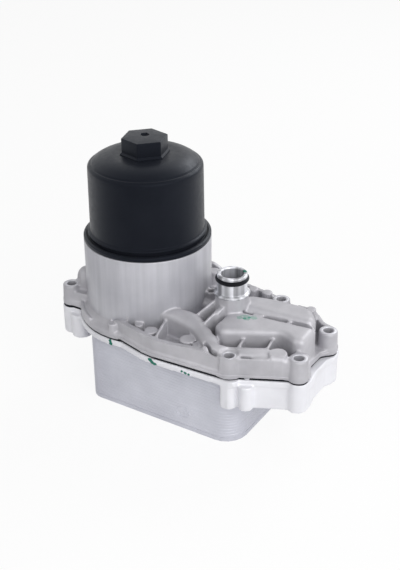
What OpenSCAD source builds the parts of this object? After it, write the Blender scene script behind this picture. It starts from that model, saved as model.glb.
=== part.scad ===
// Oil filter housing with stacked-plate oil cooler.
// Millimetres, +Z up. The origin lies on the filter axis, in the plane of the cooler's underside.
// X runs along the cooler's long side.

/* [Oil cooler] */
// Length of the cooler stack along X
cooler_l = 159; // [140:1:161]
// Width of the cooler stack along Y
cooler_w = 98; // [90:1:100]
// Height of the cooler with both end plates
cooler_h = 67.5; // [50:0.5:90]
// Pitch of the stacked plates
plate_pitch = 3; // [2.5:0.1:4]
// Depth of the groove between two stacked plates
plate_groove = 0.7; // [0.3:0.1:1.2]
// Corner radius at the cooler's right end
cooler_corner_r = 21; // [14:1:24]
// Corner radius at the cooler's left end
cooler_corner_left_r = 13; // [8:1:20]
// Radius of the oil ports in the cooler's top plate
port_r = 9; // [6:0.5:11]

/* [Cooler cover] */
// Thickness of the cover's flange
cover_flange_t = 5.5; // [4.5:0.1:8]
// Depth of the cover's deep end and bosses, from the gasket down
cover_depth = 28; // [20:1:36]
// Wall thickness of the cover's deep end
cover_wall = 5; // [4:0.5:7]
// Gap between the cover's deep end and the cooler
cooler_gap = 0.8; // [0.5:0.1:2]

/* [Housing casting] */
// Thickness of the gasket between housing and cover
gasket_t = 1; // [0.6:0.1:1.5]
// Thickness of the housing's floor
floor_t = 6; // [5:0.5:8]
// Height of the bolt bosses above the gasket
boss_h = 21; // [18:0.5:26]
// Radius of a bolt boss at its top
boss_r = 8.2; // [7.5:0.1:9.5]
// Radius of a bolt hole
bolt_hole_r = 4.5; // [3.5:0.1:5]
// Thickness of the perimeter wall
rim_t = 4.5; // [3:0.5:6]
// Height of the chamber humps above the gasket
hump_h = 31; // [28:0.5:34]
// Edge radius of the chamber humps
hump_edge = 4.5; // [3:0.5:6]
// Wall thickness of the casting's hollow parts
cast_wall = 5; // [4:0.5:6]
// Thickness of a stiffening rib
rib_t = 2.6; // [2:0.1:4]

/* [Filter chamber] */
// Outer radius of the turned barrel
barrel_r = 58; // [56:0.5:62]
// Height of the barrel above the gasket
barrel_h = 77; // [70:1:90]
// Radius of the threaded mouth of the barrel
mouth_r = 53; // [52:0.1:54]
// Depth of the threaded mouth
mouth_depth = 30; // [27:1:34]
// Radius of the chamber below the mouth
chamber_r = 51; // [49:0.5:51.5]
// Height of the chamber floor above the gasket
chamber_floor = 12; // [10:0.5:16]

/* [Filter cap] */
// Width across the flats of the cap's hexagon
hex_af = 36; // [27:1:41]
// Height of the hexagon
hex_h = 11; // [8:0.5:16]
// Radius of the cap's tube at its shoulder
cap_r = 51.2; // [49:0.1:51.5]
// Radius of the cap's tube at its foot
cap_foot_r = 51.8; // [51.5:0.1:53]
// Height of the cap above the barrel
cap_h = 94; // [90:1:110]
// Radius of the cap's flange
cap_flange_r = 58; // [56:0.5:60]
// Thickness of the cap's flange
cap_flange_t = 4.2; // [3:0.1:6]
// Wall thickness of the cap
cap_wall = 3.2; // [2.5:0.1:4]
// Depth of the cap's threaded skirt in the barrel
skirt_depth = 26; // [22:1:27]
// Radius of the skirt at the root of its thread
skirt_r = 51; // [50:0.1:51.5]
// Gap under the flange of the tightened cap
seat_gap = 0.2; // [0.1:0.05:0.3]
// Section diameter of the cap's O-ring
cap_ring_d = 3.6; // [3:0.1:4]

/* [Filter element] */
// Outer radius of the pleated element
element_r = 44; // [38:0.5:46]
// Height of the element with its end caps
element_h = 118; // [90:1:120]
// Thickness of an end cap
end_cap_t = 4; // [3:0.5:6]
// Number of pleats
pleats = 60; // [40:1:72]
// Outer radius of the perforated core
core_r = 19; // [17:0.5:22]
// Wall thickness of the perforated core
core_wall = 2; // [1.5:0.1:3]

/* [Standpipe and bypass valve] */
// Outer radius of the standpipe
pipe_r = 12; // [10:0.5:13]
// Wall thickness of the standpipe
pipe_wall = 2.2; // [1.8:0.1:3]
// Radius of the standpipe's sealing lands
land_r = 14; // [13.5:0.1:15]
// Gap between a land and the seal that slides over it
land_gap = 0.15; // [0.05:0.05:0.3]
// Travel of the bypass valve
bypass_travel = 6; // [4:0.5:8]
// Wire diameter of the bypass spring
spring_wire = 1.2; // [0.8:0.1:1.4]

/* [Connector tube] */
// Outer radius of the connector tube
tube_r = 13.5; // [12.5:0.1:14.5]
// Radius of the connector tube's bore
tube_bore_r = 9.8; // [8:0.1:10.5]
// Height of the tube above its boss
tube_h = 16.3; // [18:0.5:30]
// Section diameter of the tube's O-ring
tube_ring_d = 3.8; // [3:0.1:4]
// Height of the tube's boss above the gasket
tube_boss_h = 47.7; // [40:0.5:50]

/* [Hidden] */
$fn = 96;

// Levels
cover_z = cooler_h;
gasket_z = cover_z + cover_flange_t;
base_z = gasket_z + gasket_t;
cover_low_z = gasket_z - cover_depth;
boss_z = base_z + boss_h;
hump_z = base_z + hump_h;
barrel_z = base_z + barrel_h;
chamber_z = base_z + chamber_floor;
cap_z = barrel_z + seat_gap;
cap_top_z = barrel_z + cap_h;
tube_seat_z = base_z + tube_boss_h;
tube_top_z = tube_seat_z + tube_h;

// Plan positions
cooler_x = -31;
cooler_y = -60;
tube_at = [91.5, -4];
bolts = [[-68.5, -30], [122.5, -62], [174.5, -35.5], [176, 17.5], [115, 45.5], [16, 69], [-46, 50]];
dowels = [[143, -49], [-53, 30]];

// Outline shared by housing, gasket and cover: x, y and corner radius
flange_outline = [
    [-10, -58, 2], [38, -70.5, 8], [52, -72, 8], [117, -68.5, 10], [132, -61, 10], [168, -43.5, 6],
    [182, -40, 6], [183, -30, 6], [176, -16, 8], [176, 4, 6], [184, 14, 6], [183, 26, 6],
    [168, 30, 8], [151, 46, 6], [126, 50, 10], [113, 57, 8], [88, 62, 12], [60, 67, 12],
    [32, 76, 8], [8, 77, 8], [-10, 58, 2]
];
skirt_flange_r = barrel_r + 7;

// Unit vector, left-hand normal and z part of the cross product of plan vectors
function unit(v) = v / norm(v);
function left(v) = [-v.y, v.x] / norm(v);
function turn(a, b) = a.x * b.y - a.y * b.x;
function xy(p) = [p.x, p.y];

// Points of the arc that rounds corner b between a and c
function corner_arc(a, b, c, r, n) =
    let (
        u = unit(a - b),
        v = unit(c - b),
        half = acos(min(1, max(-1, u * v))) / 2,
        centre = b + unit(u + v) * r / sin(half),
        w1 = unit(b + u * r / tan(half) - centre),
        w2 = unit(b + v * r / tan(half) - centre),
        arc = 180 - 2 * half
    )
    [for (i = [0:n]) centre + r * (sin(arc * (1 - i / n)) * w1 + sin(arc * i / n) * w2) / sin(arc)];

// Closed outline with rounded corners
function rounded(pts, n = 5) =
    let (m = len(pts))
    [for (i = [0:m - 1])
        each corner_arc(xy(pts[(i + m - 1) % m]), xy(pts[i]), xy(pts[(i + 1) % m]), pts[i].z, n)];

// Anticlockwise outline moved inwards by d, with its corner radii kept concentric
function inset(pts, d) =
    let (m = len(pts))
    [for (i = [0:m - 1])
        let (
            a = xy(pts[(i + m - 1) % m]),
            b = xy(pts[i]),
            c = xy(pts[(i + 1) % m]),
            n1 = left(b - a),
            n2 = left(c - b),
            s = (n1 + n2) * d / (1 + n1 * n2),
            r = turn(b - a, c - b) > 0 ? max(pts[i].z - d, 0.5) : max(pts[i].z + d, 0.5)
        )
        [b.x + s.x, b.y + s.y, r]];

// Catmull-Rom curve through control points, with n steps between two of them
function spline_point(a, b, c, d, t) =
    0.5 * (2 * b + (c - a) * t + (2 * a - 5 * b + 4 * c - d) * t * t + (3 * b - a - 3 * c + d) * t * t * t);
function spline(p, n) =
    let (m = len(p))
    [for (i = [0:m - 2], k = [0:n - 1])
        spline_point(p[max(i - 1, 0)], p[i], p[i + 1], p[min(i + 2, m - 1)], k / n),
     p[m - 1]];

// Rectangle from its corner, with its left and right corner radii
function plate_outline(x, y, l, w, rl, rr) =
    [[x, y, rl], [x + l, y, rr], [x + l, y + w, rr], [x, y + w, rl]];

// Block with a rounded top edge, trimmed flat: outline with corner radii, levels, edge radius and draft
trim = 0.06;

module soft_block(pts, z0, z1, edge, draft = 0.8, steps = 4) {
    layers = concat(
        [[z0, -draft]],
        [for (k = [0:steps]) [z1 + trim - edge + edge * sin(90 * k / steps), edge * (1 - cos(90 * k / steps))]]);
    rings = [for (l = layers) rounded(inset(pts, l[1]))];
    m = len(rings[0]);
    top = len(layers) - 1;
    difference() {
        polyhedron(
            points = [for (k = [0:top], p = rings[k]) [p.x, p.y, layers[k][0]]],
            faces = concat(
                [[for (i = [0:m - 1]) i]],
                [[for (i = [m - 1:-1:0]) top * m + i]],
                [for (k = [0:top - 1], i = [0:m - 1])
                    [k * m + i, (k + 1) * m + i, (k + 1) * m + (i + 1) % m, k * m + (i + 1) % m]]));
        translate([-300, -300, z1]) cube([600, 600, 5]);
    }
}

// Duct with a round back: stations hold x, y, half width and top level
module duct(stations, z0, steps = 3, arcs = 8) {
    path = spline(stations, steps);
    last = len(path) - 1;
    m = arcs + 3;
    rings = [for (k = [0:last])
        let (
            s = path[k],
            t = xy(path[min(k + 1, last)]) - xy(path[max(k - 1, 0)]),
            n = left(t),
            w = s[2],
            crown = min(0.8 * w, s[3] - z0 - 2)
        )
        concat(
            [[s.x - n.x * w, s.y - n.y * w, z0]],
            [for (j = [0:arcs])
                let (a = 180 * j / arcs)
                [s.x - n.x * w * cos(a), s.y - n.y * w * cos(a), s[3] - crown + crown * sin(a)]],
            [[s.x + n.x * w, s.y + n.y * w, z0]])];
    polyhedron(
        points = [for (r = rings) each r],
        faces = concat(
            [[for (i = [m - 1:-1:0]) i]],
            [[for (i = [0:m - 1]) last * m + i]],
            [for (k = [0:last - 1], j = [0:m - 1])
                [k * m + j, k * m + (j + 1) % m, (k + 1) * m + (j + 1) % m, (k + 1) * m + j]]));
}

// Strip from p to q of width w
module strip(p, q, w) {
    n = left(q - p) * w / 2;
    polygon([p + n, p - n, q - n, q + n]);
}

// Arm from inside a round boss at p to a broader root at q
module arm(p, r, q, w) {
    n = left(q - p);
    polygon([p + n * r * 0.9, p - n * r * 0.9, q - n * w, q + n * w]);
}

// Outline of a casting's flange: corner list, skirt radius and boss radius
module casting_shape(outline, skirt, boss) {
    polygon(rounded(outline));
    circle(r = skirt);
    arm(bolts[0], boss, [-40, -12], 30);
    arm(bolts[6], boss, [-28, 30], 26);
    for (b = bolts) translate(b) circle(r = boss);
}

module at_bolts() {
    for (b = bolts) translate(b) children();
}

module cooler_shape(g = 0) {
    polygon(rounded(inset(
        plate_outline(cooler_x, cooler_y, cooler_l, cooler_w, cooler_corner_left_r, cooler_corner_r), -g)));
}

// Oil ports and fixing screws of the cooler
cooler_cx = cooler_x + cooler_l / 2;
// Middle of the ports, whose back row is nearer the edge than the front row
cooler_cy = cooler_y + cooler_w / 2 + 5;
port_dx = cooler_l / 2 - 19.5;
port_dy = cooler_w / 2 - 25;
ports = [for (sx = [-1, 1], sy = [-1, 1]) [cooler_cx + sx * port_dx, cooler_cy + sy * port_dy]];
screws = [for (sx = [-1, 1], sy = [-1, 1]) [cooler_cx + sx * (port_dx - 27), cooler_cy + sy * (port_dy + 9)]];
screw_r = 3;
screw_head_r = 5;
screw_head_h = 3;
base_plate_t = 4;
top_plate_t = 5;
seal_d = 2.2;
seal_wall = 1.2;
plate_lip = 0.7;
port_pocket = 3.5;

module cooler_core() color([0.72, 0.73, 0.77]) {
    z0 = base_plate_t;
    z1 = cooler_h - top_plate_t;
    n = floor((z1 - z0) / plate_pitch);
    translate([0, 0, z0]) linear_extrude(z1 - z0) cooler_shape(-plate_groove);
    for (i = [0:n - 1])
        translate([0, 0, z0 + i * plate_pitch + plate_lip])
            linear_extrude(plate_pitch - plate_lip) cooler_shape();
}

module cooler_base_plate() color([0.72, 0.73, 0.77]) {
    linear_extrude(base_plate_t) cooler_shape();
}

module cooler_top_plate() color([0.72, 0.73, 0.77]) {
    difference() {
        translate([0, 0, cooler_h - top_plate_t]) linear_extrude(top_plate_t) cooler_shape();
        for (p = ports) translate([p.x, p.y, cooler_h - top_plate_t - 1])
            cylinder(r = port_r, h = top_plate_t + 2);
        for (p = ports) translate([p.x, p.y, cooler_h - seal_d]) difference() {
            cylinder(r = port_r + seal_wall + seal_d + 0.2, h = seal_d + 1);
            translate([0, 0, -1]) cylinder(r = port_r + seal_wall, h = seal_d + 3);
        }
        for (p = screws) translate([p.x, p.y, cooler_h - top_plate_t - 1])
            cylinder(r = screw_r, h = top_plate_t + 2);
    }
}

module cooler_port_seals() color([0.06, 0.06, 0.07]) {
    for (p = ports) translate([p.x, p.y, cooler_h - seal_d / 2]) rotate_extrude()
        translate([port_r + seal_wall + 0.1 + seal_d / 2, 0]) circle(d = seal_d - 0.1, $fn = 32);
}

module cooler_screws() color([0.35, 0.36, 0.38]) {
    for (p = screws) translate([p.x, p.y, 0]) {
        translate([0, 0, cooler_h - top_plate_t + 0.2])
            cylinder(r = screw_r, h = top_plate_t + cover_flange_t - 0.2);
        difference() {
            translate([0, 0, gasket_z]) cylinder(r = screw_head_r, h = screw_head_h);
            translate([0, 0, gasket_z + 1]) cylinder(r = 2.3, h = screw_head_h, $fn = 6);
        }
    }
}

// Outline of the cover, and its deep end right of the cooler with its columns and ribs
cover_outline = [
    [-10, -59, 2], [38, -71.5, 8], [52, -73, 8], [117, -69.8, 8], [132, -62, 10], [168, -45, 6],
    [183.5, -41.5, 6], [185, -30, 6], [182, -16, 8], [182, 4, 8], [186, 13, 6], [184, 27, 6],
    [170, 32, 8], [152, 48, 6], [126, 53, 8], [112, 58.5, 8], [88, 63.5, 12], [60, 68.5, 12],
    [32, 77.5, 8], [8, 78.5, 8], [-10, 59, 2]
];
cover_boss_r = boss_r + 1.4;
cover_column_at = [137.5, -58.5];
cover_column_r = 6.4;
cover_slim_r = boss_r - 0.2;
// Step from the cover's flange in to its deep wall
cover_step = 0.8;
cover_left_boss_at = [-57, -33.5];
cover_ribs_x = [146, 162];
cover_rib_t = 3;
cover_deep_x = 117;

module cover_deep_shape() {
    intersection() {
        difference() {
            polygon(rounded(inset(cover_outline, cover_step)));
            polygon(rounded(inset(cover_outline, cover_wall + cover_step)));
        }
        translate([cover_deep_x, -100]) square([100, 200]);
    }
    intersection() {
        polygon(rounded(inset(cover_outline, cover_step + 1)));
        for (x = cover_ribs_x) translate([x, -80]) square([cover_rib_t, 160]);
    }
    for (b = bolts) translate(b) circle(r = b == bolts[1] ? cover_slim_r : cover_boss_r);
    translate(cover_column_at) circle(r = cover_column_r);
    translate(cover_left_boss_at) circle(r = cover_boss_r);
}

module cooler_cover() color([0.9, 0.91, 0.93]) {
    difference() {
        union() {
            translate([0, 0, cover_z]) linear_extrude(cover_flange_t)
                casting_shape(cover_outline, skirt_flange_r + 0.8, cover_boss_r);
            translate([0, 0, cover_low_z]) linear_extrude(cover_depth - cover_flange_t + 1) difference() {
                cover_deep_shape();
                cooler_shape(cooler_gap);
            }
        }
        translate([0, 0, cover_low_z]) linear_extrude(cover_depth - cover_flange_t) cooler_shape(cooler_gap);
        at_bolts() translate([0, 0, cover_low_z - 1]) cylinder(r = bolt_hole_r, h = cover_depth + 2);
        for (p = ports) translate([p.x, p.y, cover_z - 1]) cylinder(r = port_r, h = cover_flange_t + 2);
        for (p = screws) translate([p.x, p.y, cover_z - 1]) cylinder(r = screw_r + 0.4, h = cover_flange_t + 2);
        for (p = dowels) translate([p.x, p.y, gasket_z - dowel_l / 2]) cylinder(r = dowel_r, h = dowel_l);
    }
}

dowel_r = 3;
dowel_l = 9;

module dowel_pins() color([0.7, 0.7, 0.72]) {
    for (p = dowels) translate([p.x, p.y, gasket_z - dowel_l / 2]) cylinder(r = dowel_r, h = dowel_l);
}

// Raised blocks of the casting and the space under them: x, y and corner radius
hump_outline = [
    [92, -38, 7], [102, -50, 9], [149, -23, 9], [156, -25, 5], [165, -30, 6], [173, -26, 7],
    [172, 4, 7], [147, 6, 6], [92, 4, 7]
];
gallery_outline = [
    [92, -1, 6], [103, -5, 5], [135, -3.2, 20], [168, -0.6, 6], [168, 9, 8], [158, 21.5, 8],
    [146, 24, 9], [118, 21.5, 9], [98, 16.5, 8]
];
gallery_rise = 4.2;
gallery_edge = 5.5;
pocket_outline = [
    [97, -32, 3], [104, -43, 5], [148, -17.5, 6], [157, -19.5, 4], [167, -21, 4],
    [163, 8, 5], [154, 16, 5], [145, 18.5, 5], [119, 16.5, 5], [97, 11, 3]
];
pocket_roof = 8;
// Grooves between the two blocks, from point to point, and the slot before the low duct
grooves = [[[103, -8.4], [114.5, -7]], [[123.5, -5.8], [146.4, -3.1]], [[149.6, -2.8], [173, -0.2]]];
groove_w = 3.2;
groove_depth = 5;
front_slot = [[130.5, -61.5], [139.5, -57.6], [147, -51.2], [138, -54], [131, -57.3]];
duct_slots = [[[96.5, -58.8], [105.5, -64]], [[105, -64.2], [112.5, -64.8]]];
slot_w = 2.6;
slot_depth = 9;
// Duct from the barrel to the front wall and along it: x, y, half width and top
horn = [
    [36, -37, 5, 101], [50, -34, 7.5, 103], [62, -33, 9.5, 103.3], [72, -36, 9, 103], [81, -41.3, 7.2, 102],
    [92.5, -50.5, 6.2, 100.5], [105, -58.5, 6.4, 98.8], [119, -56.5, 7.8, 97.5], [134, -48.8, 7.6, 97.5],
    [149, -40.5, 7.4, 97.5]
];
horn_z = base_z + 2;
// Round pads: x, y, radius and top above the gasket face
pads = [
    [26, -55, 4, 18], [41, -58, 6, 18], [76.5, -54, 7.3, 18.5], [89.5, -58, 5, 18], [157.7, -41.2, 8, 23.3],
    [98.4, 49, 5, 22], [84.2, 48.3, 5, 22], [32.7, 61.6, 6, 21], [1.5, -60.5, 4.5, 14.5]
];
// Stepped boss beside the barrel, round lug behind the gallery, and the shoulder by the left bolt boss
small_boss_r = 7.4;
small_boss_at = unit([61, 10.5]) * (barrel_r + 4);
dome_at = unit([60, 7.5]) * (barrel_r + 2.5);
small_boss_h = 24;
small_boss_cup_r = 5.2;
small_boss_cup_h = 31;
lug_at = [153.5, 28.5];
lug_r = 4.4;
lug_h = 29.5;
// Lip that stands on the edge of the barrel's foot
lip_r = 64.6;
lip_h = 8.5;
shoulder_at = [-59, -18.5];
// Reliefs along the casting's front lower edge, where the gasket shows: x and length
reliefs = [[8, 29], [53, 61], [131, 36]];
left_relief = [-76, -50];
left_relief_size = [22, 14.5];
relief_in = 2.4;
relief_h = 1.2;
// Set-back of the wall from the flange's edge, and how far the rear wall stays below the bosses
wall_in = 1.5;
rear_wall_drop = 5;
// Top of the wall along x, above the bolt bosses
wall_tops = [
    [-80, -14], [1, -14], [3, 1.5], [27, 1.5], [38, -2.5], [44, -2.5], [52, -0.5], [64, -0.5],
    [78, 2.5], [100, 3], [112, -1], [132, -2], [146, -0.5], [200, -0.5]
];
module gasket_holes(h) {
    at_bolts() cylinder(r = bolt_hole_r + 0.4, h = h);
    for (p = dowels) translate(p) cylinder(r = dowel_r + 0.4, h = h);
}

module housing_gasket() color([0.08, 0.08, 0.09]) {
    difference() {
        translate([0, 0, gasket_z]) linear_extrude(gasket_t) difference() {
            casting_shape(inset(flange_outline, 0.6), skirt_flange_r - 0.6, boss_r + 0.4);
            circle(r = hub_pocket_r);
            polygon(rounded(inset(pocket_outline, cast_wall - 5)));
            translate(tube_at) circle(r = tube_bore_r);
            for (p = ports) translate(p) circle(r = port_r);
            for (p = screws) translate(p) circle(r = screw_head_r + 1);
        }
        translate([0, 0, gasket_z - 1]) gasket_holes(gasket_t + 2);
    }
}

hub_r = 20;
hub_pocket_r = 47;

module barrel_solid() {
    rotate_extrude() polygon([
        [0, base_z], [skirt_flange_r, base_z], [skirt_flange_r, base_z + floor_t - 1],
        [skirt_flange_r - 1.5, base_z + floor_t + 0.5], [barrel_r + 1.5, base_z + floor_t + 3],
        [barrel_r, base_z + floor_t + 7], [barrel_r, barrel_z - 0.8], [barrel_r - 0.8, barrel_z], [0, barrel_z]
    ]);
}

module barrel_hollow() {
    rotate_extrude() polygon([
        [0, chamber_z], [chamber_r - 4, chamber_z], [chamber_r, chamber_z + 4],
        [chamber_r, barrel_z - mouth_depth - 2], [mouth_r, barrel_z - mouth_depth], [mouth_r, barrel_z - 1],
        [mouth_r + 1, barrel_z + 1], [0, barrel_z + 1]
    ]);
}

// Rib from p to q whose top falls from z1 to z2
module rib(p, z1, q, z2) {
    d = q - p;
    translate([p.x, p.y, 0]) rotate([0, 0, atan2(d.y, d.x)]) rotate([90, 0, 0])
        translate([0, 0, -rib_t / 2]) linear_extrude(rib_t)
            polygon([[0, base_z + 1], [norm(d), base_z + 1], [norm(d), z2], [0, z1]]);
}

// Upright solid of revolution on the casting's floor from [radius, height] points
module turned_boss(at, points) {
    translate([at.x, at.y, base_z + 1]) rotate_extrude() polygon(points);
}

module filter_housing() color([0.69, 0.68, 0.69]) {
    difference() {
        union() {
            translate([0, 0, base_z]) linear_extrude(floor_t)
                casting_shape(flange_outline, skirt_flange_r, boss_r + 1);
            difference() {
                translate([0, 0, base_z + 1]) linear_extrude(boss_h + 4) difference() {
                    polygon(rounded(inset(flange_outline, wall_in)));
                    polygon(rounded(inset(flange_outline, wall_in + rim_t)));
                }
                translate([0, 100, 0]) rotate([90, 0, 0]) linear_extrude(200) polygon(concat(
                    [[200, boss_z + 9], [-80, boss_z + 9]],
                    [for (q = wall_tops) [q[0], boss_z + q[1]]]));
                translate([168, -26, base_z + floor_t]) cube([20, 36, boss_h]);
                translate([44, 20, boss_z - rear_wall_drop]) cube([88, 80, boss_h]);
            }
            barrel_solid();
            at_bolts() translate([0, 0, base_z]) cylinder(r1 = boss_r + 0.9, r2 = boss_r, h = boss_h);
            translate([0, 0, base_z + 1]) linear_extrude(boss_h - 6) {
                arm(bolts[0], boss_r - 0.5, [-48, -20], 16);
                arm(bolts[6], boss_r - 0.5, [-34, 36], 14);
            }
            soft_block(hump_outline, base_z + 1, hump_z, hump_edge);
            soft_block(gallery_outline, base_z + 1, hump_z + gallery_rise, gallery_edge);
            duct(horn, horn_z);
            translate([tube_at.x, tube_at.y, base_z + 1]) cylinder(r1 = 19, r2 = 15, h = 24);
            translate([tube_at.x, tube_at.y, base_z + 1]) cylinder(r = 15, h = tube_boss_h - 1);
            for (p = pads) translate([p.x, p.y, base_z + 1]) cylinder(r = p[2], h = p[3] - 1);
            rib([80, -15], base_z + 39, [68, -30], base_z + 26);
            rib([90, -16], base_z + 39, [82, -42], base_z + 26);
            rib([121, -34], boss_z + 3, [125, -54], boss_z + 1);
            rib([143, -22], boss_z + 3, [147, -44], boss_z + 1);
            rib([44, -36], boss_z + 1, [52, -68], boss_z - 2);
            turned_boss(shoulder_at, [
                [0, 0], [11, 0], [10.5, 21], [9.6, 26], [7.8, 30], [5.2, 33.2], [2.4, 34.9], [0, 35.4]
            ]);
            turned_boss(dome_at, [
                [0, 0], [small_boss_r, 0], [small_boss_r, small_boss_h - 5.5],
                [small_boss_r - 0.9, small_boss_h - 3.2], [small_boss_r - 3, small_boss_h - 1.5],
                [0, small_boss_h - 1]
            ]);
            translate([small_boss_at.x, small_boss_at.y, base_z + 1])
                cylinder(r = small_boss_cup_r, h = small_boss_cup_h - 1);
            translate([lug_at.x, lug_at.y, base_z + 1]) cylinder(r = lug_r, h = lug_h);
            translate([0, 0, base_z + 1]) linear_extrude(lip_h) intersection() {
                difference() {
                    circle(r = lip_r);
                    circle(r = lip_r - rib_t);
                }
                polygon([[0, 0], [-90, -55], [-90, -100], [-44, -95]]);
            }
        }
        barrel_hollow();
        difference() {
            translate([0, 0, base_z - 1]) cylinder(r = hub_pocket_r, h = chamber_floor - cast_wall + 1);
            translate([0, 0, base_z - 2]) cylinder(r = hub_r, h = chamber_floor);
        }
        translate([0, 0, base_z - 1]) cylinder(r = pipe_r - pipe_wall, h = 40);
        translate([0, 0, chamber_z - pipe_foot_depth]) cylinder(r = pipe_r + pipe_fit, h = 40);
        translate([0, 0, base_z - 1]) linear_extrude(hump_h - pocket_roof + 1)
            polygon(rounded(inset(pocket_outline, cast_wall - 5)));
        translate([0, 0, hump_z - groove_depth]) linear_extrude(groove_depth + 1)
            for (g = grooves) strip(g[0], g[1], groove_w);
        translate([0, 0, boss_z - slot_depth]) linear_extrude(2 * slot_depth) {
            polygon(front_slot);
            for (g = duct_slots) strip(g[0], g[1], slot_w);
        }
        translate([0, 0, base_z - 1]) linear_extrude(relief_h + 1) intersection() {
            difference() {
                square(400, center = true);
                polygon(rounded(inset(flange_outline, relief_in)));
            }
            for (r = reliefs) translate([r[0], -90]) square([r[1], 60]);
        }
        translate([0, 0, base_z - 1]) linear_extrude(relief_h + 1)
            translate(left_relief) square(left_relief_size);
        translate([tube_at.x, tube_at.y, base_z - 1]) cylinder(r = tube_bore_r - 0.8, h = tube_boss_h + 2);
        translate([tube_at.x, tube_at.y, tube_seat_z - tube_foot])
            cylinder(r = tube_r + pipe_fit, h = tube_foot + 1);
        for (p = ports) translate([p.x, p.y, base_z - 1]) cylinder(r = port_r, h = port_pocket + 1);
        for (p = screws) translate([p.x, p.y, base_z - 1])
            cylinder(r = screw_head_r + 1, h = screw_head_h + 0.5);
        at_bolts() translate([0, 0, base_z - 1]) cylinder(r = bolt_hole_r, h = boss_h + 2);
        at_bolts() translate([0, 0, boss_z]) cylinder(r = boss_r + 0.3, h = 40);
        for (p = dowels) translate([p.x, p.y, gasket_z - dowel_l / 2]) cylinder(r = dowel_r, h = dowel_l);
        translate([small_boss_at.x, small_boss_at.y, base_z + small_boss_h - 5])
            cylinder(r = 3.4, h = small_boss_cup_h);
    }
}

pipe_foot_depth = 6;
pipe_fit = 0.02;
tube_foot = 8;

module connector_tube() color([0.85, 0.85, 0.87]) {
    groove_z = tube_top_z - 2.6;
    translate([tube_at.x, tube_at.y, 0]) rotate_extrude() polygon([
        [tube_bore_r, tube_seat_z - tube_foot], [tube_r, tube_seat_z - tube_foot], [tube_r, tube_seat_z],
        [tube_r + 2, tube_seat_z], [tube_r + 2, tube_seat_z + 1.4], [tube_r - 0.1, tube_seat_z + 2.2],
        [tube_r - 0.1, groove_z - tube_ring_d - 0.6], [tube_r - 2.4, groove_z - tube_ring_d - 0.6],
        [tube_r - 2.4, groove_z], [tube_r, groove_z], [tube_r, tube_top_z - 0.8], [tube_r - 0.8, tube_top_z],
        [tube_bore_r + 0.6, tube_top_z], [tube_bore_r, tube_top_z - 0.6]
    ]);
}

module connector_o_ring() color([0.05, 0.05, 0.06]) {
    translate([tube_at.x, tube_at.y, tube_top_z - 2.6 - 0.3 - tube_ring_d / 2]) rotate_extrude()
        translate([tube_r - 2.4 + tube_ring_d / 2 + 0.05, 0]) circle(d = tube_ring_d, $fn = 48);
}

// Filter element levels
element_z = chamber_z + seat_gap;
element_top_z = element_z + element_h;
land_h = 8;
valve_z = element_top_z + 6;

module standpipe() color([0.12, 0.12, 0.13]) {
    slots_z = element_z + 20;
    slot_pitch = (spring_seat_z - 6 - slots_z) / 4;
    difference() {
        rotate_extrude() polygon([
            [pipe_r - pipe_wall, chamber_z - pipe_foot_depth], [pipe_r, chamber_z - pipe_foot_depth],
            [pipe_r, chamber_z], [land_r, chamber_z], [land_r, element_z + land_h],
            [pipe_r, element_z + land_h + 3], [pipe_r, element_top_z - 11],
            [land_r, element_top_z - 8], [land_r, valve_z - 1], [land_r - 1, valve_z],
            [pipe_r - 0.8, valve_z], [pipe_r - 0.8, valve_z - seat_t], [pipe_r - pipe_wall, valve_z - seat_t],
            [pipe_r - pipe_wall, spring_seat_z], [4.6, spring_seat_z], [4.6, spring_seat_z - 2],
            [pipe_r - pipe_wall, spring_seat_z - 4]
        ]);
        for (k = [0:3], a = [0, 90]) translate([0, 0, slots_z + k * slot_pitch]) rotate([0, 0, a])
            translate([-20, -3, 0]) cube([40, 6, 0.65 * slot_pitch]);
    }
}

seat_t = 4;
seat_bore_r = 6;
poppet_r = 8.4;
spring_r = 6.6;
poppet_disc_t = 2.5;
poppet_z = valve_z - seat_t - 0.1 - poppet_disc_t;
spring_turns = 6;
spring_seat_z = poppet_z - 3 * bypass_travel - spring_turns * spring_wire - 2.2;

module bypass_seat() color([0.75, 0.68, 0.45]) {
    translate([0, 0, valve_z - seat_t]) difference() {
        cylinder(r = pipe_r - 0.8 - pipe_fit, h = seat_t);
        translate([0, 0, -1]) cylinder(r = seat_bore_r, h = seat_t + 2);
    }
}

module bypass_poppet() color([0.8, 0.8, 0.82]) {
    translate([0, 0, poppet_z]) cylinder(r = poppet_r, h = poppet_disc_t);
    translate([0, 0, poppet_z - 6.5]) cylinder(r = 4.4, h = 7);
}

// Coil of round wire: mean radius, wire diameter, overall height and turns
module coil(r, d, h, turns, steps = 20, sides = 6) {
    last = turns * steps;
    rings = [for (i = [0:last])
        let (a = 360 * i / steps, z = d / 2 + (h - d) * i / last)
        [for (k = [0:sides - 1])
            let (b = 360 * k / sides, w = r + d / 2 * cos(b))
            [w * cos(a), w * sin(a), z + d / 2 * sin(b)]]];
    polyhedron(
        points = [for (q = rings) each q],
        faces = concat(
            [[for (k = [0:sides - 1]) k]],
            [[for (k = [sides - 1:-1:0]) last * sides + k]],
            [for (i = [0:last - 1], k = [0:sides - 1])
                [i * sides + k, (i + 1) * sides + k,
                    (i + 1) * sides + (k + 1) % sides, i * sides + (k + 1) % sides]]));
}

module bypass_spring() color([0.6, 0.6, 0.63]) {
    translate([0, 0, spring_seat_z + 0.1])
        coil(spring_r, spring_wire, poppet_z - spring_seat_z - 0.2, spring_turns);
}

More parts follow.
